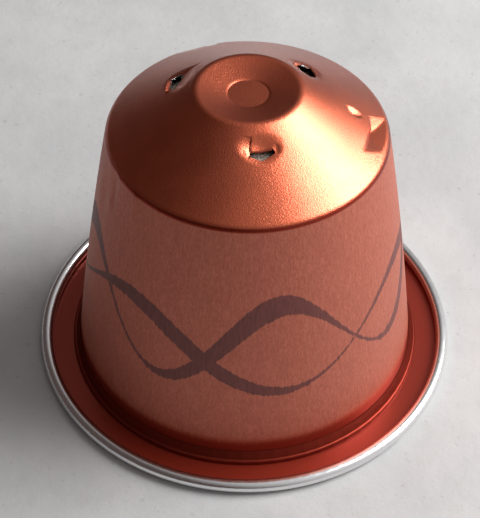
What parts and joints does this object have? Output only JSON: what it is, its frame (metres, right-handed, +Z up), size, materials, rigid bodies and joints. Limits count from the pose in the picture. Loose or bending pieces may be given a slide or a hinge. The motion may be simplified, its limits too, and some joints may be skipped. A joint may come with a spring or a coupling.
{
  "type": "coffee pod",
  "caption": "Spent aluminium coffee pod standing on its foil lid: tapered cup, conical shoulder pierced by blades, dished top, and a flange with a rolled rim.",
  "frame": {"origin": "middle of the lid's flat face, which the pod stands on", "axes": "+Z up along the pod's axis, from the lid to the pierced top; -Y is the side that faces the viewer"},
  "size_m": [0.037, 0.037, 0.0286],
  "materials": {
    "lacquered_aluminium": "satin copper-coloured lacquer on drawn aluminium, bare and bright on the rolled rim",
    "foil": "plain bright foil",
    "sealant": "soft translucent bead over the lacquer",
    "paper": "felted filter paper, stained by coffee",
    "coffee": "matte pressed grounds"
  },
  "bodies": {
    "root": {"capsule_shell": "lacquered_aluminium", "foil_lid": "foil", "sealing_ring": "sealant", "filter_paper": "paper", "coffee_grounds": "coffee"}
  },
  "joints": []
}
